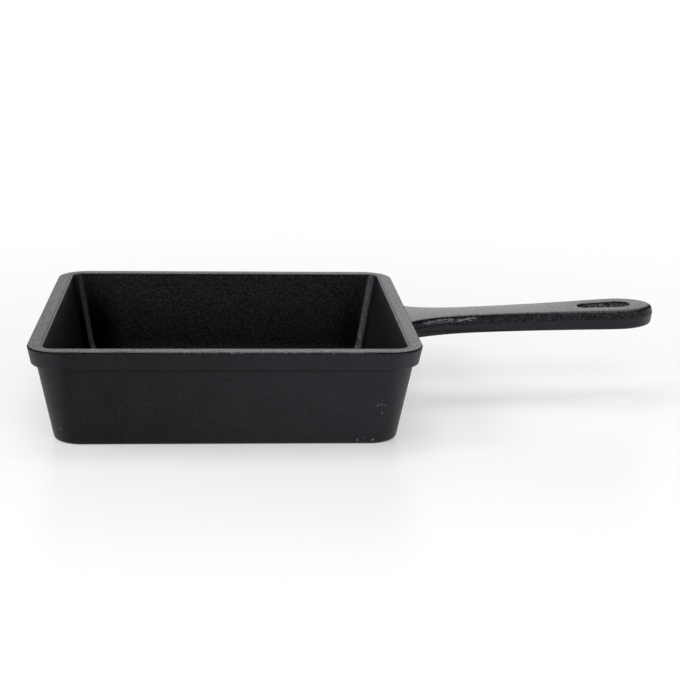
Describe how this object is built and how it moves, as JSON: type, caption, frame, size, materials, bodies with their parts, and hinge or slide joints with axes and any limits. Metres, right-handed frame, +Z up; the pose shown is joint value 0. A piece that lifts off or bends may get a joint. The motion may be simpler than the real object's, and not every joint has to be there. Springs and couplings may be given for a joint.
{
  "type": "square frying pan",
  "caption": "Square cast-iron frying pan with drafted walls, a thickened rim band and a long flat handle ending in a hanging eye.",
  "frame": {"origin": "middle of the flat underside of the pan, on the surface that it stands on", "axes": "+X out along the handle, +Y to the left of someone looking out along the handle, +Z up"},
  "size_m": [0.2548, 0.1498, 0.0412],
  "materials": {
    "body_iron": "sand-cast, seasoned matt black",
    "handle_iron": "sand-cast, seasoned matt black, slightly smoother from fettling"
  },
  "bodies": {
    "root": {"pan_body": "body_iron", "handle": "handle_iron"}
  },
  "joints": []
}
